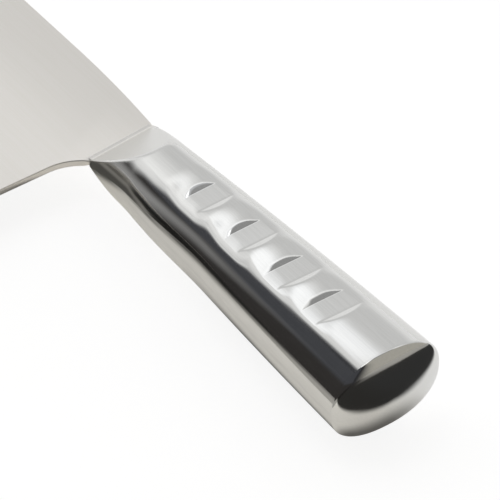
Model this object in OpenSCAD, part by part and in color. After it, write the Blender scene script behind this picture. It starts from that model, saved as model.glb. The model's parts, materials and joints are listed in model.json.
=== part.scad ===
// Chinese cleaver made all of stainless steel, lying on its right face as it is put down:
// the toe of the blade and the nose of the hollow handle touch the table, and the butt stands clear.
// Each piece is drawn in the knife's own frame: X runs to the butt from the middle of the neck line,
// Y to the spine from the handle's axis, and Z out of the left face from the middle of the blade.

/* [Blade] */
// Length of the cutting edge, heel to toe
edge_l = 210; // [150:1:260]
// Height of the blade, spine to cutting edge
blade_h = 98; // [75:1:120]
// Thickness of the blade
blade_t = 2; // [1.6:0.1:3]
// Height of the spine above the handle's axis
spine_rise = 12.5; // [11:0.1:16]
// Length over which the spine curves down to the neck
spine_curve_l = 38; // [20:1:80]
// Height of the ground bevel on each face
bevel_h = 9; // [4:0.5:20]
// Thickness left along the cutting edge
edge_t = 0.3; // [0.2:0.1:0.8]
// Radius of the two toe corners
toe_r = 4; // [2:0.5:10]
// Distance of the heel edge ahead of the neck line
heel_set = 3; // [2:0.1:8]
// Radius of the heel's throat under the neck
heel_r = 15; // [6:0.5:20]
// Turn of the heel's throat, in degrees
heel_turn = 35; // [20:1:45]
// Length of the tang stub inside the handle
tang_l = 14; // [8:0.5:25]

/* [Handle] */
// Length of the handle, neck line to butt
handle_l = 118; // [100:1:140]
// Width of the handle at the neck line
neck_w = 21.1; // [19:0.1:22]
// Width of the handle at its waist
waist_w = 20.6; // [19:0.1:22]
// Width of the handle at its middle
middle_w = 28.5; // [26:0.1:31]
// Width of the handle at the butt
butt_w = 33.7; // [31:0.1:37]
// Thickness of the handle at its waist
waist_t = 23.3; // [20:0.1:26]
// Thickness of the handle at its middle
middle_t = 23.9; // [21:0.1:27]
// Thickness of the handle at the butt
butt_t = 25.3; // [22:0.1:29]
// Distance of the waist from the neck line
waist_x = 18; // [14:0.5:24]
// Distance of the middle from the neck line
middle_x = 65; // [55:0.5:75]
// Squareness of the handle's section, where 2 is an ellipse
section_n = 2.26; // [2:0.02:3]
// Wall of the pressed shells
shell_wall = 1.2; // [0.8:0.1:2]

/* [Nose] */
// Slope of the nose ramps, in degrees from the blade's face
ramp_slope = 31; // [25:1:40]
// Slant of the neck line, in degrees, with its spine end nearer the blade
neck_slant = 4.9; // [0:0.1:8]
// Leg of the fillet weld along the neck line
neck_weld_leg = 1; // [0.5:0.1:2]
// Depth ground off each face of the blade under that weld and along the tang
tang_relief = 0.3; // [0.1:0.05:0.5]

/* [Grip dimples] */
// Number of dimples on each face
dimple_count = 4; // [1:1:4]
// Distance of the first crease from the neck line
dimple_start = 37.4; // [33:0.1:41]
// Spacing of the first two creases along the handle
dimple_pitch = 18.4; // [15:0.1:20]
// How much shorter each next spacing is
pitch_drop = 1; // [0:0.1:1.5]
// Depth of the flat floor under the crown
dimple_depth = 0.7; // [0.3:0.05:1]
// Length of the steep wall on the blade's side
dimple_wall_l = 2.7; // [1.5:0.1:4]
// Length of the flat floor
dimple_floor_l = 7; // [3:0.1:9]
// Length of the soft rise back to the crown
dimple_rise_l = 6; // [3:0.1:8]

/* [Butt cap and welds] */
// Depth of the domed butt cap
cap_d = 3.6; // [2.5:0.1:6]
// Fullness of the dome, where 2 is round
cap_n = 1.75; // [1.5:0.05:2.5]
// Length of the weld ring between the shells and the cap
cap_weld_l = 0.6; // [0.4:0.1:1.5]
// Width of the two long seam welds
seam_w = 1; // [0.6:0.1:2]

/* [Fits] */
// Clearance at each side of the tang
tang_gap = 0.3; // [0.1:0.05:0.6]

/* [Hidden] */

// Points round half a section, slices along the handle and slices up the dome
section_points = 22;
body_slices = 16;
dome_slices = 9;
curve_points = 10;
// Thickness of one slice, and how far a cutter reaches past what it cuts
skin = 0.01;
past = 40;

edge_y = spine_rise - blade_h;
heel_x = -heel_set;
toe_x = heel_x - edge_l;
cap_x = handle_l - cap_d;
shell_end = cap_x - cap_weld_l;
tang_face = blade_t / 2 - tang_relief;
// Both ends of the slanted neck line
neck_spine = [neck_at(neck_w / 2), neck_w / 2];
neck_belly = [neck_at(-neck_w / 2), -neck_w / 2];
throat_turn = min(heel_turn, acos(1 - 0.9 * (neck_belly[0] - heel_x) / heel_r));
// Height at which the throat's arc runs into its straight stretch up to the neck line
throat_y = neck_belly[1]
           - (neck_belly[0] - heel_x - heel_r * (1 - cos(throat_turn))) / tan(throat_turn);

// A parabola through three stations
function through(x, p, q, r, u, v, w) =
    u * (x - q) * (x - r) / ((p - q) * (p - r))
    + v * (x - p) * (x - r) / ((q - p) * (q - r))
    + w * (x - p) * (x - q) / ((r - p) * (r - q));
function full_w(x) = through(x, waist_x, middle_x, handle_l, waist_w, middle_w, butt_w);
function full_t(x) = through(x, waist_x, middle_x, handle_l, waist_t, middle_t, butt_t);
// The width leaves the neck line square and joins the parabola at the waist
waist_lean = full_w(waist_x + 0.5) - full_w(waist_x - 0.5);
function nose_w(s) =
    neck_w * (1 + 2 * s) * pow(1 - s, 2)
    + waist_w * s * s * (3 - 2 * s)
    + waist_lean * waist_x * s * s * (s - 1);
function half_w(x) = (x < waist_x ? nose_w(max(x, 0) / waist_x) : full_w(x)) / 2;
function half_t(x) = full_t(x) / 2;
// The tang clears the narrowest place of the nose
tang_half = min([for (x = [0 : tang_l]) half_w(x)]) - shell_wall - tang_gap;
// Where the slanted neck line lies at a height y
function neck_at(y) = -tan(neck_slant) * y;
// Place of each crease, counted from the first
function crease(i) = dimple_start + i * dimple_pitch - pitch_drop * i * (i - 1) / 2;

// Superellipse of half width a and half thickness b, from angle t0 to angle t1
function section(a, b, t0, t1, count) = [
    for (i = [0 : count])
        let (t = t0 + (t1 - t0) * i / count)
        [a * sign(cos(t)) * pow(abs(cos(t)), 2 / section_n),
         b * sign(sin(t)) * pow(abs(sin(t)), 2 / section_n)]];
function whole_section(a, b) = [
    for (i = [0 : 2 * section_points - 1])
        section(a, b, 0, 360, 2 * section_points)[i]];

// How far the handle's nose hangs below the blade's middle plane, and the tilt that lets both rest
rest_x = (half_t(waist_x) - blade_t / 2) / tan(ramp_slope);
rest_t = half_t(rest_x);
tilt = atan((rest_t - blade_t / 2) / (rest_x - toe_x));
lift = blade_t / 2 * cos(tilt) - toe_x * sin(tilt);
// Furthest reach of the dome towards the butt once the knife is tilted
butt_reach = max([
    for (t = [0 : 2 : 90])
        (cap_x + cap_d * pow(sin(t), 2 / cap_n)) * cos(tilt)
        + half_t(cap_x) * pow(cos(t), 2 / cap_n) * sin(tilt)]);
toe_reach = toe_x * cos(tilt) - blade_t / 2 * sin(tilt);
spine_reach = max(spine_rise, half_w(cap_x));
middle = [(butt_reach + toe_reach) / 2, (spine_reach + edge_y) / 2];

module laid() {
    translate([-middle[0], -middle[1], lift])
        rotate([0, -tilt, 0])
            children();
}

// One thin slice of a section, standing across the handle at x
module slice(x, points) {
    translate([x, 0, 0])
        rotate([90, 0, 90])
            linear_extrude(skin)
                polygon(points);
}

// Half of the handle's body above its seam, drawn in by the inset
module half_body(inset, from_x, to_x) {
    step = (to_x - from_x) / body_slices;
    for (i = [0 : body_slices - 1])
        hull()
            for (x = [from_x + i * step, from_x + (i + 1) * step])
                slice(x - (x == to_x ? skin : 0),
                      section(half_w(x) - inset, half_t(x) - inset, 0, 180, section_points));
}

// All that lies over the ramp's plane, which is lowered by drop, and ahead of the neck line
module over_ramp(drop) {
    rotate([0, 0, neck_slant])
        rotate([90, 0, 0])
            linear_extrude(2 * past, center = true)
                polygon([[-past, -past], [0, -past], [0, blade_t / 2 - drop],
                         [past, blade_t / 2 - drop + past * tan(ramp_slope)],
                         [-past, blade_t / 2 - drop + past * tan(ramp_slope)]]);
}

// Cutter of one dimple with its crease at x
module dimple(x) {
    top = half_t(x);
    rotate([90, 0, 0])
        linear_extrude(2 * past, center = true)
            polygon([[x - 2 * dimple_wall_l, top + dimple_depth],
                     [x, top - dimple_depth],
                     [x + dimple_floor_l, top - dimple_depth],
                     [x + dimple_floor_l + 2 * dimple_rise_l, top + dimple_depth]]);
}

module shell() {
    difference() {
        half_body(0, -neck_w / 8, shell_end);
        difference() {
            half_body(shell_wall, 0, shell_end + 1);
            over_ramp(shell_wall / cos(ramp_slope));
        }
        over_ramp(0);
        for (i = [0 : dimple_count - 1])
            dimple(crease(i));
        // Room for the tang and for the seam welds
        translate([-past, -tang_half - tang_gap, -past])
            cube([past + tang_l + tang_gap, 2 * (tang_half + tang_gap), past + tang_face]);
        translate([-past, -past, -past])
            cube([past + handle_l, 2 * past, past + seam_w / 2]);
    }
}

module blade_outline() {
    polygon(concat(
        [for (i = [0 : curve_points])
            let (s = i / curve_points)
            [neck_spine[0] - spine_curve_l * (1 - s),
             spine_rise - (spine_rise - neck_spine[1]) * s * s]],
        [neck_belly],
        [for (i = [0 : curve_points])
            let (t = throat_turn * (1 - i / curve_points))
            [heel_x + heel_r * (1 - cos(t)), throat_y - heel_r * (sin(throat_turn) - sin(t))]],
        [[heel_x, edge_y], [toe_x + toe_r, edge_y]],
        [for (i = [1 : curve_points])
            let (t = 90 * i / curve_points)
            [toe_x + toe_r * (1 - sin(t)), edge_y + toe_r * (1 - cos(t))]],
        [for (i = [0 : curve_points])
            let (t = 90 * i / curve_points)
            [toe_x + toe_r * (1 - cos(t)), spine_rise - toe_r * (1 - sin(t))]]));
}

// Ground off above one face: a slope under the neck weld that runs out over the tang
module neck_relief() {
    rotate([0, 0, neck_slant])
        rotate([90, 0, 0])
            linear_extrude(2 * past, center = true)
                polygon([[-neck_weld_leg, blade_t / 2], [0, tang_face], [past, tang_face],
                         [past, past], [-neck_weld_leg, past]]);
}

// The stub reaches back under the neck line so that it is one with the blade
module tang() {
    translate([-heel_set, -tang_half, -blade_t / 2])
        cube([heel_set + tang_l, 2 * tang_half, blade_t]);
}

module blade_blank() {
    intersection() {
        linear_extrude(blade_t, center = true)
            blade_outline();
        translate([toe_x - 1, 0, 0])
            rotate([90, 0, 90])
                linear_extrude(edge_l + handle_l)
                    polygon([[edge_y, -edge_t / 2], [edge_y + bevel_h, -blade_t / 2],
                             [spine_rise + 1, -blade_t / 2], [spine_rise + 1, blade_t / 2],
                             [edge_y + bevel_h, blade_t / 2], [edge_y, edge_t / 2]]);
    }
}

module blade() {
    color("lightgray")
        laid()
            difference() {
                union() {
                    blade_blank();
                    tang();
                }
                neck_relief();
                mirror([0, 0, 1])
                    neck_relief();
            }
}

module handle_shell_left() {
    color("silver")
        laid()
            shell();
}

module handle_shell_right() {
    color("silver")
        laid()
            mirror([0, 0, 1])
                shell();
}

// Dome of slices that shrink as they rise
module dome(inset, from_x) {
    a = half_w(cap_x) - inset;
    b = half_t(cap_x) - inset;
    rise = cap_d - inset;
    for (i = [0 : dome_slices - 1])
        hull()
            for (j = [i, i + 1])
                let (t = 90 * j / dome_slices, s = max(pow(cos(t), 2 / cap_n), 0.05))
                slice(j == 0 ? from_x : cap_x + rise * pow(sin(t), 2 / cap_n) - skin,
                      whole_section(a * s, b * s));
}

module butt_cap() {
    color("silver")
        laid()
            difference() {
                dome(0, cap_x);
                dome(shell_wall, cap_x - 1);
            }
}

// One long bead that fills the gap between the half shells, on the side of the given sign
module seam_weld(side) {
    shares = [for (i = [0 : 2 * body_slices]) i / (2 * body_slices)];
    depth = neck_w / 2 - shell_wall;
    outer_x = neck_at(side * neck_w / 2);
    inner_x = neck_at(side * depth);
    linear_extrude(seam_w, center = true)
        polygon(concat(
            [for (s = shares)
                let (x = outer_x + s * (shell_end - outer_x))
                [x, side * half_w(x)]],
            [for (s = shares)
                let (x = shell_end + s * (inner_x - shell_end))
                [x, side * (half_w(x) - shell_wall)]]));
}

module seam_weld_spine() {
    color("gainsboro")
        laid()
            seam_weld(1);
}

module seam_weld_belly() {
    color("gainsboro")
        laid()
            seam_weld(-1);
}

// Fillet bead laid on the blade's face against the foot of the ramp
module neck_weld() {
    top = neck_weld_leg * tan(ramp_slope);
    rotate([0, 0, neck_slant])
        rotate([90, 0, 0])
            linear_extrude(neck_w * 0.96, center = true)
                polygon([[-neck_weld_leg, blade_t / 2], [0, tang_face], [0, blade_t / 2],
                         [neck_weld_leg, blade_t / 2 + top], [neck_weld_leg * 0.3, blade_t / 2 + top]]);
}

module neck_weld_left() {
    color("gray")
        laid()
            neck_weld();
}

module neck_weld_right() {
    color("gray")
        laid()
            mirror([0, 0, 1])
                neck_weld();
}

module cap_weld() {
    color("gainsboro")
        laid()
            translate([shell_end, 0, 0])
                rotate([90, 0, 90])
                    linear_extrude(cap_weld_l)
                        difference() {
                            polygon(whole_section(half_w(cap_x), half_t(cap_x)));
                            polygon(whole_section(half_w(cap_x) - shell_wall,
                                                  half_t(cap_x) - shell_wall));
                        }
}

blade();
handle_shell_left();
handle_shell_right();
butt_cap();
seam_weld_spine();
seam_weld_belly();
neck_weld_left();
neck_weld_right();
cap_weld();
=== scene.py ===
"""Chinese cleaver made all of stainless steel: a satin blade and a hollow, polished handle.

Every piece is worked out here as a smooth surface from the sizes of the solid that it stands for.
Only the nose is a little fuller and the dimples are deeper, as the photograph shows them. Sizes are
in millimetres in the knife's own frame: X runs to the butt from the neck line, Y to the spine from
the handle's axis, and Z out of the left face from the middle of the blade.
"""
import json
import math

import bmesh
import bpy
import numpy as np
from mathutils import Matrix, Vector


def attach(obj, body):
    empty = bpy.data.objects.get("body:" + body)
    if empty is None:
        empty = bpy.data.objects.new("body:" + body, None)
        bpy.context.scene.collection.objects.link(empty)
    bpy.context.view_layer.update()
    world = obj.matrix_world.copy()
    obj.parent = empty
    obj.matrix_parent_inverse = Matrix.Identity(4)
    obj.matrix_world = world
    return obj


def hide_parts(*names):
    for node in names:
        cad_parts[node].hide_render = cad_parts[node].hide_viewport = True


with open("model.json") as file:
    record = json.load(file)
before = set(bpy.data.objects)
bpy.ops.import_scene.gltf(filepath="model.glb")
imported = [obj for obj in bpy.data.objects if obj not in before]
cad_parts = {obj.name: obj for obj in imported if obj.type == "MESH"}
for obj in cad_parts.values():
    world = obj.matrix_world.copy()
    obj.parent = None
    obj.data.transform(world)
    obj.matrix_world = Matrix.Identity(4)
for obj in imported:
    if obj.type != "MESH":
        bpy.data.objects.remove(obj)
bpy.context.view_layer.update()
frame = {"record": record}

MM = 0.001

# Sizes of the blade
EDGE_L, BLADE_H, BLADE_T = 210.0, 98.0, 2.0
SPINE_RISE, SPINE_CURVE = 12.5, 38.0
BEVEL_H, EDGE_T, TOE_R = 9.0, 0.3, 4.0
HEEL_SET, HEEL_R, HEEL_TURN = 3.0, 15.0, math.radians(35)
TANG_L, TANG_GAP = 14.0, 0.3
# The belt breaks every edge of the blade by this radius, or by this share of a thinner edge
EDGE_ROUND, THIN_ROUND = 0.25, 0.7

# Sizes of the handle
NECK_W, WAIST_W, MIDDLE_W, BUTT_W = 21.1, 20.6, 28.5, 33.7
WAIST_T, MIDDLE_T, BUTT_T = 23.3, 23.9, 25.3
WAIST_X, MIDDLE_X, HANDLE_L = 18.0, 65.0, 118.0
SECTION_N = 2.26
WALL = 1.2
# The belly side is fuller than the spine side by this much from the neck on, and fades out between
# these places
BELLY_FULL, FULL_START, FULL_GROW, FULL_FADE = 1.15, 0.4, (0.0, 22.0), (26.0, 54.0)
# Radius at the ramp's edge: crisp on the belly side, and rounded over where it meets the spine. It
# comes up from the least radius between these heights over the seam
RAMP_CRISP, RAMP_ROUND, RAMP_TURN, RAMP_HEIGHTS, LEAST_ROUND = 0.5, 3.2, (1.0, 9.0), (1.0, 3.5), 0.02
RAMP_SLOPE = math.radians(31)
NECK_SLANT = math.radians(4.9)
CAP_D, CAP_N = 3.6, 1.75
CAP_WELD_L, SEAM_W = 0.6, 1.0
NECK_LEG, NECK_RELIEF, NECK_REACH = 1.0, 0.3, 0.96
CAP_X = HANDLE_L - CAP_D
SHELL_END = CAP_X - CAP_WELD_L
# Grip dimples: the first crease, the first step to the next and how much each later step is shorter;
# how far each crease's middle lies from the axis towards the spine; then the dimples' depths, slope
# of the wall, length of the floor, and slope of the rise past it
CREASE_START, CREASE_STEP, STEP_DROP = 36.8, 18.4, 1.0
CREASES = [CREASE_START + CREASE_STEP * i - STEP_DROP * i * (i - 1) / 2 for i in range(4)]
CREASE_MIDDLES = [-0.9, -0.7, 0.3, 0.5]
DIMPLE_DEPTHS, DIMPLE_WALL, DIMPLE_FLOOR, DIMPLE_RISE = [0.92, 0.92, 0.90, 0.84], 0.29, 6.3, 0.41
# How deep the skin round each dimple is drawn in, and between which places before and past the
# crease; then its borders on the belly and the spine side of the crease's middle, and the heights
# over the seam between which it sets in
DRAW_DEPTHS, DRAW_IN, DRAW_OUT = [0.36, 0.36, 0.36, 0.30], (-9.0, -1.0), (3.5, 10.0)
DRAW_BELLY, DRAW_SPINE, DRAW_HEIGHTS = (-9.0, -4.5), (4.0, 9.5), (3.0, 6.0)
# The dimple's rim is crisp, but rounded over by more at its belly end, where it also leans back
RIM_CRISP, RIM_ROUND, RIM_TURN, RIM_LEAN = 0.1, 0.3, (2.0, 4.5), 1.0

# The blade's left face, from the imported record: a known point of it and its outward normal
FACE = next(m for m in frame["record"]["mounts"] if m["name"] == "blade_left_face")
FACE_POINT = np.array([-HEEL_SET - EDGE_L / 2, -30.0, BLADE_T / 2])
UP = np.array(FACE["axis"]) / np.linalg.norm(FACE["axis"])
ALONG = np.array([UP[2], 0.0, -UP[0]])
ACROSS = np.array([0.0, 1.0, 0.0])


def lay(points):
    """Knife frame in mm to the row's frame in metres: a turn of the axes and a shift."""
    turn = np.array([ALONG, ACROSS, UP])
    return (np.asarray(points, float) - FACE_POINT) @ turn * MM + np.array(FACE["pos_m"])


# Meshes from grids of points

# Edges that turn by more than this are drawn sharp, and points closer than this are one, in metres
SHARP, MERGE = math.radians(35), 1e-7
# The nose has closer rows of points up to this place; then rows in the nose and in the rest, and
# points across a half shell
NOSE_END, NOSE_ROWS, BODY_ROWS, SKIN_POINTS = 22.0, 90, 270, 141
# Extra rows round each crease, and how far the even rows keep clear of them
CREASE_ROWS, CREASE_CLEAR = (-0.3, -0.12, 0.0, 0.12, 0.3), 0.08


def quads(rows, cols, first=0, flip=False):
    """Faces of a grid whose points are numbered row by row from first."""
    r, c = np.meshgrid(np.arange(rows - 1), np.arange(cols - 1), indexing="ij")
    a = (first + r * cols + c).ravel()
    faces = np.stack([a, a + 1, a + cols + 1, a + cols], axis=1)
    return faces[:, ::-1] if flip else faces


def strip(first, second, flip=False):
    """Faces between two rows of point numbers of equal length."""
    faces = np.stack([first[:-1], first[1:], second[1:], second[:-1]], axis=1)
    return faces[:, ::-1] if flip else faces


def walled(outer, inner):
    """Closed piece from an outer and an inner grid, joined along all four borders."""
    rows, cols = outer.shape[:2]
    number = np.arange(rows * cols).reshape(rows, cols)
    inside = number + rows * cols
    faces = np.concatenate([
        quads(rows, cols), quads(rows, cols, rows * cols, flip=True),
        strip(number[0], inside[0], flip=True), strip(number[-1], inside[-1]),
        strip(number[:, 0], inside[:, 0]), strip(number[:, -1], inside[:, -1], flip=True)])
    return np.concatenate([outer.reshape(-1, 3), inner.reshape(-1, 3)]), faces


def looped(rings):
    """Faces between rings of points, each ring closed on itself; also gives the rings' numbers."""
    rows, cols = rings.shape[:2]
    number = np.arange(rows * cols).reshape(rows, cols)
    closed = np.concatenate([number, number[:, :1]], axis=1)
    return np.concatenate([strip(closed[i], closed[i + 1]) for i in range(rows - 1)]), number


def outwards(mesh):
    """Turns every face of a closed mesh outwards."""
    bm = bmesh.new()
    bm.from_mesh(mesh)
    bmesh.ops.remove_doubles(bm, verts=bm.verts, dist=MERGE)
    bmesh.ops.recalc_face_normals(bm, faces=bm.faces)
    bm.to_mesh(mesh)
    bm.free()


def add_piece(name, node, material, slot, points, faces, caps=()):
    """One mesh piece from knife-frame points, which stands for a CAD node. Each of its caps is one
    flat face, given as the numbers of its points."""
    mesh = bpy.data.meshes.new(name)
    mesh.from_pydata(lay(points).tolist(), [], faces.tolist() + [cap.tolist() for cap in caps])
    mesh.polygons.foreach_set("use_smooth", [True] * len(faces) + [False] * len(caps))
    outwards(mesh)
    mesh.validate()
    mesh.set_sharp_from_angle(angle=SHARP)
    mesh.materials.append(material)
    piece = bpy.data.objects.new(name, mesh)
    bpy.context.scene.collection.objects.link(piece)
    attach(piece, "root")
    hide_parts(node)


# Shape of the handle


def half_width(x, y=0.0):
    """A parabola through waist, middle and butt; a cubic from the neck line joins it at the waist.
    Where y is on the belly side, the extra fullness of that side is added."""
    curve = np.polyfit([WAIST_X, MIDDLE_X, HANDLE_L], [WAIST_W, MIDDLE_W, BUTT_W], 2)
    lean = np.polyval(np.polyder(curve), WAIST_X)
    s = np.clip(x, 0, WAIST_X) / WAIST_X
    nose = (NECK_W * (1 + 2 * s) * (1 - s) ** 2 + WAIST_W * s * s * (3 - 2 * s)
            + lean * WAIST_X * s * s * (s - 1))
    grown = FULL_START + (1 - FULL_START) * smooth(x, *FULL_GROW)
    full = np.where(np.asarray(y) < 0, BELLY_FULL * grown * (1 - smooth(x, *FULL_FADE)), 0.0)
    return np.where(x < WAIST_X, nose, np.polyval(curve, x)) / 2 + full


def half_thickness(x):
    """A parabola through waist, middle and butt."""
    curve = np.polyfit([WAIST_X, MIDDLE_X, HANDLE_L], [WAIST_T, MIDDLE_T, BUTT_T], 2)
    return np.polyval(curve, x) / 2


def power(value, n):
    """Signed power: the value's size raised to 2/n, with its sign kept."""
    return np.sign(value) * np.abs(value) ** (2 / n)


def soft_min(a, b, radius):
    """The lesser of two heights, with their corner rounded over about the radius."""
    gap = np.clip(0.5 + 0.5 * (b - a) / radius, 0, 1)
    return b * (1 - gap) + a * gap - radius * gap * (1 - gap)


def smooth(value, start, end):
    """0 before start, 1 after end and a smooth step between."""
    s = np.clip((value - start) / (end - start), 0, 1)
    return s * s * (3 - 2 * s)


def crown(x, y):
    """Height of the superellipse section over the seam plane, before any dimple."""
    side = np.clip(np.abs(y) / half_width(x, y), 0, 1)
    return half_thickness(x) * (1 - side ** SECTION_N) ** (1 / SECTION_N)


def drawn_in(x, y):
    """How far the skin is drawn in round the dimples: a smooth fall towards each crease and a smooth
    rise past it, between a step on the belly side and one on the spine side."""
    depth = 0 * x
    for crease, middle, drawn in zip(CREASES, CREASE_MIDDLES, DRAW_DEPTHS):
        past = x - crease - RIM_LEAN * np.maximum(middle + DRAW_BELLY[1] - y, 0)
        along = smooth(past, *DRAW_IN) * (1 - smooth(past, *DRAW_OUT))
        across = smooth(y - middle, *DRAW_BELLY) * (1 - smooth(y - middle, *DRAW_SPINE))
        depth = depth + drawn * along * across
    return depth


def dimple_cut(x, y):
    """Height of the dimples' cut, and how far its rim is rounded over. Each cut is a straight wall
    down to a crease, a flat floor that lies as the skin over its middle does, and a straight rise."""
    far_above, beside = 100.0, 0.1
    height, turn = 0 * x + far_above, 0 * x + RIM_CRISP
    for crease, middle, depth in zip(CREASES, CREASE_MIDDLES, DIMPLE_DEPTHS):
        low, top, high = crown(np.array(crease), middle + beside * np.array([-1, 0, 1]))
        lean = (high - low) / (2 * beside)
        s = x - crease
        wall = -s * DIMPLE_WALL
        rise = np.maximum((s - DIMPLE_FLOOR) * DIMPLE_RISE, 0)
        base = top - depth + lean * (y - middle)
        height = np.minimum(height, base + np.where(s < 0, wall, rise))
        turn = turn + RIM_ROUND * smooth(middle - y, *RIM_TURN) * (np.abs(s) < DIMPLE_FLOOR)
    return height, turn


def stations():
    """Places of the skin's rows along the handle: evenly spaced in the nose and in the rest, and
    closer together round each crease, which lies on one of them."""
    fine = np.add.outer(CREASES, CREASE_ROWS).ravel()
    even = np.linspace(NOSE_END, SHELL_END, BODY_ROWS)
    even = even[np.abs(np.subtract.outer(even, fine)).min(axis=1) > CREASE_CLEAR]
    nose = np.linspace(0, NOSE_END, NOSE_ROWS)[:-1]
    return np.concatenate([nose, np.unique(np.concatenate([even, fine]))])


def slanted(x_line, side):
    """Moves stations at the nose on to the slanted neck line, as far as their side of the axis asks,
    and less and less up to the straight sections past the waist."""
    lean = np.tan(NECK_SLANT) * (1 - smooth(x_line, 0, WAIST_X))
    return x_line - lean * half_width(x_line, side) * side


def shell_skin():
    """Outer skin of the left half shell: superellipse sections from spine seam to belly seam, swept
    along the handle, cut down by the nose ramp's plane and sunk at the dimples."""
    x_line = stations()[:, None]
    start = np.arcsin((SEAM_W / 2 / half_thickness(x_line)) ** (SECTION_N / 2))
    t = start + (np.pi - 2 * start) * np.linspace(0, 1, SKIN_POINTS)[None, :]
    c, s = power(np.cos(t), SECTION_N), power(np.sin(t), SECTION_N)
    x = slanted(x_line, c)
    y = half_width(x, c) * c
    z = half_thickness(x) * s
    ramp = BLADE_T / 2 + np.tan(RAMP_SLOPE) * (x * np.cos(NECK_SLANT) + y * np.sin(NECK_SLANT))
    turn = (RAMP_CRISP + RAMP_ROUND * smooth(y, *RAMP_TURN)) * smooth(z, *RAMP_HEIGHTS)
    z = soft_min(z, ramp, np.maximum(turn, LEAST_ROUND))
    sunk = drawn_in(x, y) * smooth(z, *DRAW_HEIGHTS)
    cut, turn = dimple_cut(x, y)
    z = soft_min(z - sunk, cut, turn)
    return np.stack([x, y, np.maximum(z, SEAM_W / 2)], axis=-1)


def shell():
    """Closed half shell: its outer skin, and that skin moved in by the wall along its normals."""
    least = 1e-9
    outer = shell_skin()
    n = np.cross(np.gradient(outer, axis=1), np.gradient(outer, axis=0))
    n /= np.maximum(np.linalg.norm(n, axis=-1, keepdims=True), least)
    from_axis = outer * np.array([0, 1, 1])
    inner = outer - WALL * n * np.sign(np.sum(n * from_axis))
    inner[..., 2] = np.maximum(inner[..., 2], SEAM_W / 2)
    return walled(outer, inner)


def butt_cap():
    """Closed cap: whole superellipse sections that shrink as the cosine and rise as the sine of an
    angle, outside and again inside by the wall."""
    rows, points = 60, 240
    t = np.linspace(0, np.pi / 2, rows)[:, None]
    turn = np.linspace(0, 2 * np.pi, points + 1)[None, :-1]
    cups = []
    for inset in (0, WALL):
        size = np.maximum(np.cos(t), 0) ** (2 / CAP_N)
        rise = (CAP_D - inset) * np.sin(t) ** (2 / CAP_N)
        y = (half_width(CAP_X) - inset) * size * power(np.cos(turn), SECTION_N)
        z = (half_thickness(CAP_X) - inset) * size * power(np.sin(turn), SECTION_N)
        cups.append(np.stack([CAP_X + rise + 0 * y, y, z], axis=-1))
    rings = np.concatenate([cups[0][::-1], cups[1]])
    return rings.reshape(-1, 3), looped(rings)[0]


def seam_bead(side):
    """Closed bead on the spine or the belly side: the strip of section between the two half shells,
    swept along the handle, and the same strip moved in by the wall."""
    nose_rows, body_rows, points = 45, 120, 7
    nose, body = np.linspace(0, NOSE_END, nose_rows)[:-1], np.linspace(NOSE_END, SHELL_END, body_rows)
    x_line = np.concatenate([nose, body])[:, None]
    z = np.linspace(-SEAM_W / 2, SEAM_W / 2, points)[None, :] + 0 * x_line
    x = slanted(x_line, side) + 0 * z
    share = (1 - (np.abs(z) / half_thickness(x)) ** SECTION_N) ** (1 / SECTION_N)
    face = np.stack([x, side * half_width(x, side) * share, z], axis=-1)
    return walled(face, face - np.array([0.0, side * WALL, 0.0]))


def cap_ring():
    """Closed weld ring between the shells and the cap, flush with both: whole superellipse sections
    outside, and again inside by the wall."""
    points = 360
    turn = np.linspace(0, 2 * np.pi, points + 1)[None, :-1]
    rings = []
    for inset, start, end, rows in ((0, SHELL_END, CAP_X, 6), (WALL, CAP_X, SHELL_END, 2)):
        x = np.linspace(start, end, rows)[:, None] + 0 * turn
        y = (half_width(x) - inset) * power(np.cos(turn), SECTION_N)
        z = (half_thickness(x) - inset) * power(np.sin(turn), SECTION_N)
        rings.append(np.stack([x, y, z], axis=-1))
    rings = np.concatenate(rings + [rings[0][:1]])
    return rings.reshape(-1, 3), looped(rings)[0]


def neck_bead():
    """Fillet weld on the left face: a hollow arc that runs off along the blade's face and along the
    ramp, drawn along the slanted neck line, with its foot in the ground relief."""
    rows, points = 60, 9
    turn = np.linspace(0, RAMP_SLOPE, points)
    radius = NECK_LEG / np.tan(RAMP_SLOPE / 2)
    hollow = np.stack([radius * np.sin(turn) - NECK_LEG,
                       BLADE_T / 2 + radius * (1 - np.cos(turn))], axis=1)
    foot = np.array([[0.0, BLADE_T / 2], [0.0, BLADE_T / 2 - NECK_RELIEF]])
    u, w = np.concatenate([hollow, foot]).T[:, None, :]
    v = NECK_REACH * np.linspace(-half_width(0.0, -1.0), half_width(0.0), rows)[:, None]
    x = u * np.cos(NECK_SLANT) - v * np.sin(NECK_SLANT)
    y = u * np.sin(NECK_SLANT) + v * np.cos(NECK_SLANT)
    rings = np.stack([x, y, w + 0 * v], axis=-1)
    faces, number = looped(rings)
    return rings.reshape(-1, 3), faces, (number[0], number[-1])


# Shape of the blade


def arc(centre, radius, start, end, steps=24):
    """Points round a centre from one angle to another, in degrees."""
    t = np.radians(np.linspace(start, end, steps))
    return np.array(centre) + radius * np.stack([np.cos(t), np.sin(t)], axis=1)


def along_neck(points):
    """Distance of points from the slanted neck line, towards the butt."""
    return points[..., 0] * np.cos(NECK_SLANT) + points[..., 1] * np.sin(NECK_SLANT)


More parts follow.
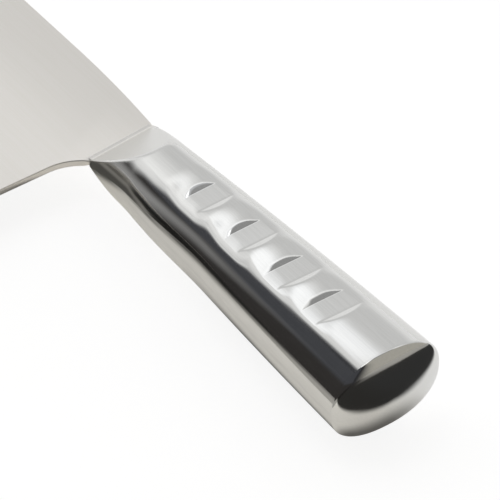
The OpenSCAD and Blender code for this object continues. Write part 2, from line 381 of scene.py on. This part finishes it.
def blade_outline():
    """Outline of the blade and its tang, clockwise. The spine falls to the neck as a parabola, the
    throat under the neck is a straight stretch and an arc, and the toe has two round corners. It has
    a point where the neck weld's edge and where the bevel's upper edge meet it."""
    fine, coarse = 200, 40
    half, slope = NECK_W / 2, np.tan(NECK_SLANT)
    edge_y, heel_x, toe_x = SPINE_RISE - BLADE_H, -HEEL_SET, -HEEL_SET - EDGE_L
    tang = float(np.min(half_width(np.linspace(0, TANG_L, coarse)))) - WALL - TANG_GAP

    def spine(s):
        return np.stack([SPINE_CURVE * (s - 1) - slope * half,
                         SPINE_RISE - (SPINE_RISE - half) * s * s], axis=1)

    share = np.linspace(0, 1, fine)
    weld_share = np.interp(-NECK_LEG, along_neck(spine(share)), share)
    foot = np.array([slope, -1.0]) * half_width(0.0, -1.0)
    run = foot[0] - heel_x - HEEL_R * (1 - math.cos(HEEL_TURN))
    arc_start = foot - [run, run / math.tan(HEEL_TURN)]
    centre = arc_start + HEEL_R * np.array([math.cos(HEEL_TURN), -math.sin(HEEL_TURN)])
    weld_foot = foot + (arc_start - foot) * -NECK_LEG / along_neck(arc_start)
    stub = [[-slope * tang, tang], [TANG_L, tang], [TANG_L, -tang], [slope * tang, -tang]]
    return np.concatenate([
        spine(np.unique(np.append(np.linspace(0, 1, coarse), weld_share))), stub, [foot, weld_foot],
        arc(centre, HEEL_R, 180 - math.degrees(HEEL_TURN), 180),
        [[heel_x, edge_y + BEVEL_H], [heel_x, edge_y]],
        arc([toe_x + TOE_R, edge_y + TOE_R], TOE_R, 270, 180), [[toe_x, edge_y + BEVEL_H]],
        arc([toe_x + TOE_R, SPINE_RISE - TOE_R], TOE_R, 180, 90)])


def blade_half(points):
    """Half thickness: full, less down the bevel to the cutting edge, and less from the weld's edge
    to the neck line, where it is ground for the tang."""
    bevel = (points[..., 1] - (SPINE_RISE - BLADE_H)) / BEVEL_H
    ground = 1 + along_neck(points) / NECK_LEG
    plate = (EDGE_T + (BLADE_T - EDGE_T) * np.clip(bevel, 0, 1)) / 2
    return plate - NECK_RELIEF * np.clip(ground, 0, 1)


def blade():
    """Closed blade: rings of the outline that are set in and raised round a quarter circle at each
    edge, and flat faces over them for the plain side, the bevel, the ground strip and the tang."""
    path = blade_outline()
    step = np.roll(path, -1, axis=0) - path
    step /= np.linalg.norm(step, axis=1, keepdims=True)
    inward = np.stack([step[:, 1], -step[:, 0]], axis=1)
    before = np.roll(inward, 1, axis=0)
    inward = (inward + before) / (1 + np.sum(inward * before, axis=1, keepdims=True))
    radius = np.minimum(EDGE_ROUND, THIN_ROUND * blade_half(path))[None, :]
    turn = np.radians([90, 60, 30, 0, 0, 30, 60, 90])[:, None]
    side = np.repeat([-1, 1], 4)[:, None]
    flat = path + (radius * (1 - np.cos(turn)))[..., None] * inward
    z = side * (blade_half(flat) - radius * (1 - np.sin(turn)))
    rings = np.concatenate([flat, z[..., None]], axis=-1)
    faces, number = looped(rings)
    neck, over_edge = along_neck(path), path[:, 1] - (SPINE_RISE - BLADE_H) - BEVEL_H
    near = 1e-6
    plain = (neck < near - NECK_LEG) & (over_edge > -near)
    ground = (neck > -NECK_LEG - near) & (neck < near)
    tang = (neck > -near) & (np.abs(path[:, 1]) < NECK_W / 2 - WALL)
    caps = [ring[mask] for ring in number[[0, -1]] for mask in (plain, over_edge < near, ground, tang)]
    return rings.reshape(-1, 3), faces, caps


# Node helper


MATH, RANGE, MIX = "ShaderNodeMath", "ShaderNodeMapRange", "ShaderNodeMix"
# Properties of a map range node that makes a smooth step, and of a mix node for colours
EASED, PAINT = {"interpolation_type": "SMOOTHSTEP"}, {"data_type": "RGBA"}
# Noise rarely leaves this range, over which a pattern goes from its one end to the other
PATTERN_REACH = (0.32, 0.68)


def colour(code):
    """sRGB hex to linear red, green, blue and alpha, by the standard curve."""
    channels = [int(code[i:i + 2], 16) / 255 for i in (1, 3, 5)]
    return [c / 12.92 if c <= 0.04045 else ((c + 0.055) / 1.055) ** 2.4 for c in channels] + [1.0]


def add_node(tree, kind, *values, **settings):
    """Adds a node. The values fill its open sockets in order; a setting in small letters is a
    property, and one with a capital is a socket by its label, with _ for a space. A value may be a
    number, a colour, a socket, or a node, whose first open output is then meant."""
    node = tree.nodes.new(kind)
    for key, value in settings.items():
        if key[0].islower():
            setattr(node, key, value)
    filled = list(zip([socket for socket in node.inputs if socket.enabled], values))
    for key, value in settings.items():
        if key[0].isupper():
            filled.append((node.inputs[key.replace("_", " ")], value))
    for socket, value in filled:
        if isinstance(value, bpy.types.Node):
            value = next(output for output in value.outputs if output.enabled)
        if isinstance(value, bpy.types.NodeSocket):
            tree.links.new(value, socket)
        else:
            socket.default_value = value
    return node


def faded(tree, value, *borders):
    """A value that fades smoothly to nothing over each border. A border is a place's socket, where
    the fading starts on it, and where it ends."""
    for place, start, end in borders:
        value = add_node(tree, RANGE, place, start, end, value, 0.0, **EASED)
    return value


def sum_of(tree, *terms, start=0.0):
    """A start value plus each term, which is a socket and its factor, as for a slanted place."""
    total = start
    for place, factor in terms:
        total = add_node(tree, MATH, place, factor, total, operation="MULTIPLY_ADD")
    return total


def knife_place(tree):
    """Place of a point in the knife's own frame, in mm, as one vector and as its three parts."""
    place = add_node(tree, "ShaderNodeTexCoord").outputs["Object"]
    shift = FACE_POINT - np.array([ALONG, ACROSS, UP]) @ np.array(FACE["pos_m"]) / MM
    turned = add_node(tree, "ShaderNodeMapping", Vector=place, Scale=[1 / MM] * 3, Location=list(shift),
                      Rotation=(0.0, math.atan2(ALONG[2], ALONG[0]), 0.0))
    return turned, add_node(tree, "ShaderNodeSeparateXYZ", turned).outputs


def new_material(name):
    """An empty material and its node tree."""
    material = bpy.data.materials.new(name)
    material.use_nodes = True
    material.node_tree.nodes.clear()
    return material, material.node_tree


def fibres(tree, place, length_mm, width_mm, detail=2.0):
    """Noise drawn out along the knife into fibres of the given length and width."""
    scale = (1 / length_mm, 1 / width_mm, 1 / width_mm)
    drawn = add_node(tree, "ShaderNodeMapping", place, Scale=scale)
    return add_node(tree, "ShaderNodeTexNoise", drawn, Scale=1.0, Detail=detail)


def steel(material, shades, pattern, roughness, relief):
    """Finishes a material as bare stainless steel between two shades that follow a pattern."""
    tree = material.node_tree
    share = add_node(tree, RANGE, pattern, *PATTERN_REACH, 0.0, 1.0, **EASED)
    base = add_node(tree, MIX, share, colour(shades[0]), colour(shades[1]), **PAINT)
    shader = add_node(tree, "ShaderNodeBsdfPrincipled", Base_Color=base, Metallic=1.0,
                      Roughness=roughness, Normal=relief)
    add_node(tree, "ShaderNodeOutputMaterial", shader)
    return material


# Materials


def satin_steel():
    """Blade: cold rolled stainless sheet, ground with a fine belt along its length. Its grey is even
    and soft, with faint lines of the belt and a slight cloudiness. The belt's lines, some 0.05 mm
    apart, are drawn 0.3 mm wide so that they show."""
    line_l, line_w, line_depth, cloud_l, cloud_w = 26.0, 0.3, 0.0001, 60.0, 18.0
    smoother, rougher, line_rough = 0.29, 0.32, 0.02
    material, tree = new_material("satin_stainless")
    place = knife_place(tree)[0]
    lines, cloud = fibres(tree, place, line_l, line_w), fibres(tree, place, cloud_l, cloud_w, 1.0)
    clouded = add_node(tree, RANGE, cloud, *PATTERN_REACH, smoother, rougher, **EASED)
    roughness = sum_of(tree, (lines, line_rough), start=clouded)
    relief = add_node(tree, "ShaderNodeBump", Height=lines, Strength=1.0, Distance=line_depth * MM)
    return steel(material, ("#f5f2ec", "#f7f4ef"), lines, roughness, relief)


# A fine double line left by the press along the belly: its height over the seam plane at the far
# end, how far it drops at the near end, the places between which it does so, where it fades out,
# and the side of the handle that it lies on
SCORE_Z, SCORE_DROP, SCORE_NEAR, SCORE_FAR = 4.75, 2.6, 20.0, 58.0
SCORE_HALF, SCORE_DEPTH, SCORE_FADE, SCORE_SIDE = 0.5, 0.012, (42.0, 58.0), (-9.0, -8.0)
# The nose ramp is satin, and the polish sets in between these distances past its edge
SATIN_END = (0.6, 2.2)


def buffed_steel():
    """Handle: pressed stainless sheet buffed on a wheel to a soft mirror. It keeps faint lines along
    the handle and slow waves, and the nose ramps, which the wheel doesn't reach, stay satin."""
    line_l, line_w, line_depth, wave_l, wave_w, wave_depth = 14.0, 0.3, 0.0005, 12.0, 7.0, 0.010
    polished, satin_more, line_rough = 0.06, 0.16, 0.06
    material, tree = new_material("buffed_stainless")
    place, (x, y, z) = knife_place(tree)
    lines, waves = fibres(tree, place, line_l, line_w), fibres(tree, place, wave_l, wave_w, 1.0)
    height = add_node(tree, MATH, z, operation="ABSOLUTE")
    over_ramp = sum_of(tree, (height, -1 / math.tan(RAMP_SLOPE)), (x, 1.0), (y, math.tan(NECK_SLANT)),
                       start=BLADE_T / 2 / math.tan(RAMP_SLOPE))
    satin_part = add_node(tree, RANGE, over_ramp, *SATIN_END, satin_more, 0.0, **EASED)
    roughness = sum_of(tree, (satin_part, 1.0), (lines, line_rough), start=polished)
    back = sum_of(tree, (x, -1 / (SCORE_FAR - SCORE_NEAR)), start=SCORE_FAR / (SCORE_FAR - SCORE_NEAR))
    drop = add_node(tree, MATH, back, 2.0, operation="POWER")
    over_score = sum_of(tree, (drop, SCORE_DROP), (z, 1.0), start=-SCORE_Z)
    away = add_node(tree, MATH, over_score, operation="ABSOLUTE")
    score = faded(tree, 1.0, (away, 0.0, SCORE_HALF), (x, *SCORE_FADE), (y, *SCORE_SIDE))
    below = {}
    for height, depth in ((lines, line_depth), (waves, wave_depth), (score, SCORE_DEPTH)):
        relief = add_node(tree, "ShaderNodeBump", Height=height, Strength=1.0, Distance=depth * MM,
                          **below)
        below = {"Normal": relief}
    return steel(material, ("#e6e6e4", "#ebebe9"), lines, roughness, relief)


def ground_bead():
    """Weld bead ground flush and buffed with the shells, a shade duller than they are."""
    line_l, line_w, line_depth = 8.0, 0.3, 0.0008
    smoother, rougher = 0.08, 0.13
    material, tree = new_material("ground_weld_bead")
    lines = fibres(tree, knife_place(tree)[0], line_l, line_w)
    roughness = add_node(tree, RANGE, lines, *PATTERN_REACH, smoother, rougher, **EASED)
    relief = add_node(tree, "ShaderNodeBump", Height=lines, Strength=1.0, Distance=line_depth * MM)
    return steel(material, ("#e2e2e0", "#e8e8e6"), lines, roughness, relief)


def fillet_bead():
    """Small fillet weld at the neck, wiped smooth with a fine cloth, so that it is dull and ripples
    a little along its length."""
    ripple_l, ripple_depth, smoother, rougher = 3.0, 0.004, 0.20, 0.26
    material, tree = new_material("neck_fillet_weld")
    ripple = fibres(tree, knife_place(tree)[0], ripple_l, ripple_l)
    roughness = add_node(tree, RANGE, ripple, *PATTERN_REACH, smoother, rougher, **EASED)
    relief = add_node(tree, "ShaderNodeBump", Height=ripple, Strength=1.0, Distance=ripple_depth * MM)
    return steel(material, ("#eeece8", "#f2f0ec"), ripple, roughness, relief)


# Pieces


def dress():
    """Adds every piece of the knife; those of the right face are the left ones turned over."""
    satin, buffed, ground, fillet = satin_steel(), buffed_steel(), ground_bead(), fillet_bead()
    add_piece("blade_plate", "blade", satin, "satin_steel", *blade())
    skin, skin_faces = shell()
    bead, bead_faces, bead_ends = neck_bead()
    for hand, over in (("left", 1), ("right", -1)):
        turned = np.array([1, 1, over])
        add_piece(f"{hand}_shell_skin", f"handle_shell_{hand}", buffed, "polished_steel", skin * turned,
                  skin_faces)
        add_piece(f"neck_bead_{hand}", f"neck_weld_{hand}", fillet, "neck_weld", bead * turned,
                  bead_faces, bead_ends)
    for edge, side in (("spine", 1), ("belly", -1)):
        add_piece(f"{edge}_seam_bead", f"seam_weld_{edge}", ground, "ground_weld", *seam_bead(side))
    add_piece("cap_weld_ring", "cap_weld", ground, "ground_weld", *cap_ring())
    add_piece("butt_cap_skin", "butt_cap", buffed, "polished_steel", *butt_cap())


# Studio. Each step of light or shade below gives where it starts, where it ends, and its value
# before and after, in that order; a border gives only the first two, and past it the thing is gone.
# Angles are in degrees and lengths in mm, in the knife's frame.

WHITE, BLACK = "#ffffff", "#000000"

# Bearing of the light wall's middle, turned from +X towards +Y
WALL_MIDDLE = math.radians(120)
# The wall is a shade darker at a quarter of its height, and lighter above that and to the belly side
WALL_FOOT, WALL_HEAD, WALL_BELLY = (4, 22, 0.84, 0.63), (35.5, 56, 0.0, 0.34), (48, 78, 0.0, 0.20)
# A dim ceiling, and the bright panel in it: how bright, and its lower, upper, near and far borders
CEILING, CEILING_TONE = (53.5, 59, 0.0, 1.0), 0.30
PANEL_TONE, PANEL_BORDERS = 1.6, ((62, 56), (78, 86), (38, 26), (110, 126))
# The dim warm side of the room past the butt, and its dark side
WARM_SIDE, WARM_SHADE = (-50, -32, 1.0, 0.0), "#aba8a0"
DARK_SIDE, DARK_SHADE = (100, 121, 0.0, 1.0), "#303032"


def studio_sky():
    """Soft studio light by direction. Around says how far a direction lies from the middle of the
    light wall, positive towards the belly side, and height is over the level."""
    world = bpy.data.worlds.new("studio")
    bpy.context.scene.world = world
    world.use_nodes = True
    tree = world.node_tree
    tree.nodes.clear()
    look = add_node(tree, "ShaderNodeTexCoord").outputs["Generated"]
    turned = add_node(tree, "ShaderNodeMapping", look, Rotation=(0.0, 0.0, -WALL_MIDDLE))
    x, y, z = add_node(tree, "ShaderNodeSeparateXYZ", turned).outputs
    around = add_node(tree, MATH, add_node(tree, MATH, y, x, operation="ARCTAN2"), operation="DEGREES")
    height = add_node(tree, MATH, add_node(tree, MATH, z, operation="ARCSINE"), operation="DEGREES")
    tone = sum_of(tree, *[(add_node(tree, RANGE, place, *step, **EASED), 1.0) for place, step in
                          ((height, WALL_FOOT), (height, WALL_HEAD), (around, WALL_BELLY))])
    over = add_node(tree, RANGE, height, *CEILING, **EASED)
    tone = add_node(tree, MIX, over, tone, CEILING_TONE)
    low, high, near, far = PANEL_BORDERS
    panel = faded(tree, 1.0, (height, *low), (height, *high), (around, *near), (around, *far))
    tone = add_node(tree, MIX, panel, tone, PANEL_TONE)
    light = add_node(tree, "ShaderNodeCombineColor", tone, tone, tone)
    warm = add_node(tree, RANGE, around, *WARM_SIDE, **EASED)
    light = add_node(tree, MIX, warm, light, colour(WARM_SHADE), **PAINT)
    off = add_node(tree, RANGE, add_node(tree, MATH, around, operation="ABSOLUTE"), *DARK_SIDE, **EASED)
    light = add_node(tree, MIX, off, light, colour(DARK_SHADE), **PAINT)
    seen = add_node(tree, "ShaderNodeLightPath").outputs["Is Camera Ray"]
    light = add_node(tree, MIX, seen, light, colour(WHITE), **PAINT)
    add_node(tree, "ShaderNodeOutputWorld", add_node(tree, "ShaderNodeBackground", light, 1.0))


def rectangle(first, second):
    """Four corners in turn, from a rectangle's reach along each of its two directions."""
    return list(zip(first + first[::-1], np.repeat(second, 2)))


def stage_sheet(name, corners, material, reflected_only=False):
    """A flat sheet from four corners in metres. One that is reflected only throws no shadow."""
    mesh = bpy.data.meshes.new(name)
    mesh.from_pydata([list(c) for c in corners], [], [(0, 1, 2, 3)])
    mesh.materials.append(material)
    sheet = bpy.data.objects.new(name, mesh)
    bpy.context.scene.collection.objects.link(sheet)
    if reflected_only:
        sheet.visible_camera = False
        sheet.visible_diffuse = False
        sheet.visible_shadow = False


# Table: its reach either way in metres, and how it looks to the camera
TABLE_REACH, SHOWN_PAINT, SHOWN_GLOW = (-6.0, 6.0), "#9f9f9f", 0.86
# As reflected, its paint is warm on the belly side and far past the butt and neutral elsewhere, and it
# has a painted glow, stronger on the spine side
BELLY_PAINT, SPINE_PAINT, PAINT_STEP, PAINT_END = "#efece6", "#f0f0f0", (25, -5), (150, 260)
PAINTED_GLOW_STEP = (-5, 25, 0.37, 0.5)
# Painted shade beside the nose: how deep, its butt side border, and how far that draws in near
# the knife and far from it; its border to the knife; and its toe side border along a slanted line,
# in two steps
NOSE_DEEP, NOSE_SIDE = 0.95, (4, 60)
NOSE_NEAR, NOSE_FAR = (-46, -18, 0.0, 22.0), (-140, -100, 30.0, 0.0)
NOSE_KNIFE, NOSE_LEAN, NOSE_HALO, NOSE_CORE = (-42, -22), -0.8, (-22, -2, 0.0, 0.6), (8, 22, 0.0, 0.4)
# Darker core of that painted shade close to the neck: how deep, its slanted border, and where it ends
NECK_DEEP, NECK_LEAN, NECK_STEP, NECK_OUT, NECK_TOE = 0.84, 1.5, (-32, -20), (-24, -38), (-18, -36)
# Painted shade close under the handle: how deep, its belly and spine side borders, and its two ends
UNDER_DEEP, UNDER_BELLY, UNDER_SPINE = 0.75, (-10, -20), (2, 20)
UNDER_NOSE, UNDER_BUTT = (70, 30), (116, 126)
# Painted dark stretch past the butt, a shade that only reflections see: its border bows away on the
# belly side, as a parabola and then straight
BUTT_DEEP, BUTT_X, BUTT_SPINE, BUTT_BOW, BUTT_BEND, BUTT_STEP = 0.96, 128.0, 13.0, 0.0156, 30.0, (3, -3)
# It ends far off along a slanted line, past which this much light is left; and that light has a
# border to the belly side, which leans too
FAR_LEAN, FAR_STEP, FAR_LIGHT, FAR_SIDE_LEAN, FAR_SIDE = 0.5, (280, 315), 0.45, -0.14, (-60, 80)


def table_painted_shade(tree, x, y):
    """Share of light left on the table, as reflections see it: what four painted shades leave,
    multiplied.
    """
    shift = [add_node(tree, RANGE, y, *step, **EASED) for step in (NOSE_NEAR, NOSE_FAR)]
    across = sum_of(tree, (x, 1.0), (shift[0], 1.0), (shift[1], 1.0))
    slanted_x = sum_of(tree, (x, 1.0), (y, NOSE_LEAN))
    toe_side = sum_of(tree, *[(add_node(tree, RANGE, slanted_x, *step, **EASED), 1.0)
                              for step in (NOSE_HALO, NOSE_CORE)])
    nose = faded(tree, sum_of(tree, (toe_side, NOSE_DEEP)), (across, *NOSE_SIDE), (y, *NOSE_KNIFE))
    core = faded(tree, NECK_DEEP, (sum_of(tree, (x, 1.0), (y, NECK_LEAN)), *NECK_STEP),
                 (y, *NECK_OUT), (x, *NECK_TOE))
    under = faded(tree, UNDER_DEEP, (y, *UNDER_BELLY), (x, *UNDER_NOSE), (x, *UNDER_BUTT),
                  (y, *UNDER_SPINE))
    bow = add_node(tree, MATH, sum_of(tree, (y, -1.0), start=BUTT_SPINE), 0.0, operation="MAXIMUM")
    bend = add_node(tree, MATH, bow, BUTT_BEND, operation="MINIMUM")
    border = sum_of(tree, (add_node(tree, MATH, bend, 2.0, operation="POWER"), BUTT_BOW),
                    (sum_of(tree, (bow, 1.0), (bend, -1.0)), 2 * BUTT_BOW * BUTT_BEND), start=BUTT_X)
    far = add_node(tree, RANGE, sum_of(tree, (x, 1.0), (y, FAR_LEAN)), *FAR_STEP, 0.0, FAR_LIGHT, **EASED)
    far = add_node(tree, RANGE, sum_of(tree, (y, 1.0), (x, FAR_SIDE_LEAN)), *FAR_SIDE, 0.0, far, **EASED)
    butt = sum_of(tree, (far, -BUTT_DEEP), start=BUTT_DEEP)
    butt = faded(tree, butt, (sum_of(tree, (x, 1.0), (border, -1.0)), *BUTT_STEP))
    left = 1.0
    for shade in (nose, core, under, butt):
        left = add_node(tree, MATH, left, sum_of(tree, (shade, -1.0), start=1.0), operation="MULTIPLY")
    return left


def table_top():
    """Matt table. The camera sees it white with the knife's soft shadow. Reflections see its paint, its
    painted shades and its painted glow."""
    material, tree = new_material("matt_table")
    x, y, _ = knife_place(tree)[1]
    spine = faded(tree, 1.0, (y, *PAINT_STEP), (x, *PAINT_END))
    paint = add_node(tree, MIX, spine, colour(BELLY_PAINT), colour(SPINE_PAINT), **PAINT)
    paint = add_node(tree, MIX, table_painted_shade(tree, x, y), colour(BLACK), paint, **PAINT)
    # Painted glow that reflections see on the table, stronger on the spine side
    lit = add_node(tree, RANGE, y, *PAINTED_GLOW_STEP, **EASED)
    beneath = add_node(tree, "ShaderNodeAddShader", add_node(tree, "ShaderNodeBsdfDiffuse", paint),
                       add_node(tree, "ShaderNodeEmission", paint, lit))
    shown = add_node(tree, "ShaderNodeAddShader",
                     add_node(tree, "ShaderNodeBsdfDiffuse", colour(SHOWN_PAINT)),
                     add_node(tree, "ShaderNodeEmission", colour(WHITE), SHOWN_GLOW))
    seen = add_node(tree, "ShaderNodeLightPath").outputs["Is Camera Ray"]
    surface = add_node(tree, "ShaderNodeMixShader", seen, beneath, shown)
    add_node(tree, "ShaderNodeOutputMaterial", surface)
    corners = [(px, py, 0.0) for px, py in rectangle(TABLE_REACH, TABLE_REACH)]
    stage_sheet("floor", corners, material)


def film(name, corners, material, passed, *glows):
    """A thin sheet from four knife-frame corners that paints reflections: it lets a share of the light
    behind it pass, and adds its own painted glows, each a pair of a colour and a strength. Only
    reflections see it."""
    tree = material.node_tree
    clear = add_node(tree, "ShaderNodeCombineColor", passed, passed, passed)
    surface = add_node(tree, "ShaderNodeBsdfTransparent", clear)
    for shade, strength in glows:
        glow = add_node(tree, "ShaderNodeEmission", shade, strength)
        surface = add_node(tree, "ShaderNodeAddShader", surface, glow)
    add_node(tree, "ShaderNodeOutputMaterial", surface)
    stage_sheet(name, lay(corners), material, reflected_only=True)


# A dark sheet beside the belly that only reflections see, a painted reflection: the plane that it
# stands in and its reach along and up
BELLY_SHEET_Y, BELLY_SHEET_X, BELLY_SHEET_Z = -52.0, (-400.0, 600.0), (-14.0, 600.0)
# Its toe side edge, which lies a little nearer the butt higher up; the height from which the edge
# leans back, and how far; how soft it is at the foot and per mm of height; a second, wide and faint
# step outside it; and the sheet's foot
BELLY_SHEET_EDGE, LEAN_FROM, BELLY_SHEET_LEAN = (45, 68, -37.0, -34.0), 130.0, -0.47
EDGE_SOFT, EDGE_SPREAD = 7.0, 0.09
EDGE_HALO, BELLY_SHEET_FOOT = (-22, 12, 1.0, 0.65), (4, -2)
# Its two painted shades of reflected dark, lower and upper, and where they meet
BELLY_SHEET_PAINTED_SHADES, BELLY_SHEET_STEP = ("#333130", "#434448"), (34, 52, 0.0, 1.0)
# A painted dimming in front of the wall: how much it holds back, its slanted edge beside the sheet,
# and its head
PAINTED_DIMMING, DIMMING_EDGE, DIMMING_LEAN, DIMMING_SOFT, DIMMING_HEAD = 0.17, 19.4, 0.82, (8, -8), (140, 160)
# A painted sheen on the sheet that climbs away from the nose: its middle at the foot, how that
# climbs, its half width, its strength from foot to head, and its foot
SHEEN_X, SHEEN_CLIMB, SHEEN_HALF = -32.0, 1.28, 40.0
SHEEN_STEP, SHEEN_FOOT = (4, 62, 0.26, 0.0), (-2, -10)
# Overhead film, a painted reflection: its height, its reach, and the painted dimming in it, held
# back twice along slanted lines
OVER_Z, OVER_X, OVER_Y = 150.0, (-140.0, 12.0), (-52.0, 109.0)
OVER_LEAN, OVER_START, OVER_THIN, OVER_THICK = -3.0, 28.0, (-24, 24, 0.0, 0.16), (20, 110, 0.0, 0.12)
OVER_SIDE_LEAN, OVER_SIDE_START, OVER_SIDE = -0.8, 47.0, (8, -14)
# A faint bluish painted window glow in it, and that glow's borders
WINDOW_SHADE, WINDOW_TONE = "#f3f7ff", 0.27
WINDOW_NEAR, WINDOW_END, WINDOW_BELLY, WINDOW_SPINE = (-20, -90), (2, 12), (-1, -9), (55, 100)


def belly_reflection_sheet():
    """A dark sheet beside the belly that only reflections see, with a soft edge on its toe side: it
    paints dark tones, a painted dimming and a painted sheen into reflections.
    """
    material, tree = new_material("belly_painted_reflection")
    x, _, z = knife_place(tree)[1]
    high = add_node(tree, MATH, sum_of(tree, (z, 1.0), start=-LEAN_FROM), 0.0, operation="MAXIMUM")
    start = add_node(tree, RANGE, z, *BELLY_SHEET_EDGE, **EASED)
    inside = sum_of(tree, (x, 1.0), (high, -BELLY_SHEET_LEAN), (start, -1.0))
    soft = sum_of(tree, (add_node(tree, MATH, z, 0.0, operation="MAXIMUM"), EDGE_SPREAD), start=EDGE_SOFT)
    edge = add_node(tree, MATH, inside, soft, operation="DIVIDE")
    cover = faded(tree, 1.0, (edge, 1.0, -1.0), (z, *BELLY_SHEET_FOOT))
    clear = sum_of(tree, (cover, -1.0), start=1.0)
    halo = add_node(tree, RANGE, inside, *EDGE_HALO, **EASED)
    dimming = faded(tree, PAINTED_DIMMING, (sum_of(tree, (x, 1.0), (z, DIMMING_LEAN), start=-DIMMING_EDGE), *DIMMING_SOFT),
                 (z, *DIMMING_HEAD))
    for share in (halo, sum_of(tree, (dimming, -1.0), start=1.0)):
        clear = add_node(tree, MATH, clear, share, operation="MULTIPLY")
    # Painted dark tones and a painted sheen, which only reflections show
    shades = [colour(shade) for shade in BELLY_SHEET_PAINTED_SHADES]
    painted_dark_tone = add_node(tree, MIX, add_node(tree, RANGE, z, *BELLY_SHEET_STEP, **EASED), *shades, **PAINT)
    beside = sum_of(tree, (x, 1.0), (z, -SHEEN_CLIMB), start=-SHEEN_X)
    away = add_node(tree, MATH, beside, operation="ABSOLUTE")
    sheen = add_node(tree, RANGE, z, *SHEEN_STEP, **EASED)
    sheen = faded(tree, sheen, (away, 0.0, SHEEN_HALF), (z, *SHEEN_FOOT))
    corners = [(px, BELLY_SHEET_Y, pz) for px, pz in rectangle(BELLY_SHEET_X, BELLY_SHEET_Z)]
    film("belly_film", corners, material, clear, (painted_dark_tone, cover), (colour(WHITE), sheen))


def overhead_film():
    """A film over the blade that only reflections see, which the crown of the handle mirrors: painted
    dimming towards the belly side, and a painted window glow towards the spine side."""
    material, tree = new_material("painted_window_reflection")
    x, y, _ = knife_place(tree)[1]
    along = sum_of(tree, (x, 1.0), (y, OVER_LEAN), start=OVER_START)
    dimming = sum_of(tree, *[(add_node(tree, RANGE, along, *step, **EASED), 1.0)
                          for step in (OVER_THIN, OVER_THICK)])
    side = sum_of(tree, (x, 1.0), (y, OVER_SIDE_LEAN), start=OVER_SIDE_START)
    dimming = faded(tree, dimming, (side, *OVER_SIDE))
    glow = faded(tree, WINDOW_TONE, (x, *WINDOW_NEAR), (x, *WINDOW_END), (y, *WINDOW_BELLY),
                 (y, *WINDOW_SPINE))
    corners = [(px, py, OVER_Z) for px, py in rectangle(OVER_X, OVER_Y)]
    film("window_film", corners, material, sum_of(tree, (dimming, -1.0), start=1.0),
         (colour(WINDOW_SHADE), glow))


# Camera: the photograph's view, found from the handle's outline in it. The middle of the neck, whose
# place in the knife's frame is given too, lies on its pixel
AZIMUTH, ELEVATION = math.radians(54.12), math.radians(41.83)
DISTANCE_MM, PIXELS_PER_MM, PHOTO_SIDE = 1333.0, 3.822, 500.0
NECK_PIXEL = (120.7, 145.9)
NECK_POINT = np.array([0.0, -0.41, 0.0])
SENSOR_MM, FARTHEST_M = 36.0, 20.0


def photo_camera():
    """Looks along the fitted bearing, so that the middle of the neck lies on its pixel."""
    right = np.array([math.cos(AZIMUTH), math.sin(AZIMUTH), 0.0])
    level = np.array([-math.sin(AZIMUTH), math.cos(AZIMUTH), 0.0])
    ahead = level * math.cos(ELEVATION) - np.array([0, 0, math.sin(ELEVATION)])
    over = np.cross(right, ahead)
    offset_x = (NECK_PIXEL[0] - PHOTO_SIDE / 2) / PIXELS_PER_MM
    offset_y = (PHOTO_SIDE / 2 - NECK_PIXEL[1]) / PIXELS_PER_MM
    eye = NECK_POINT - offset_x * right - offset_y * over - DISTANCE_MM * ahead
    turn = np.array([ALONG, ACROSS, UP])
    axes = [row @ turn for row in (right, over, -ahead)]
    data = bpy.data.cameras.new("camera")
    data.sensor_width = SENSOR_MM
    data.lens = data.sensor_width * PIXELS_PER_MM * DISTANCE_MM / PHOTO_SIDE
    data.clip_end = FARTHEST_M
    camera = bpy.data.objects.new("camera", data)
    bpy.context.scene.collection.objects.link(camera)
    pose = Matrix(np.array(axes).T.tolist()).to_4x4()
    pose.translation = Vector(lay(eye))
    camera.matrix_world = pose
    bpy.context.scene.camera = camera


dress()
studio_sky()
table_top()
belly_reflection_sheet()
overhead_film()
photo_camera()
bpy.context.scene.view_settings.view_transform = "Standard"
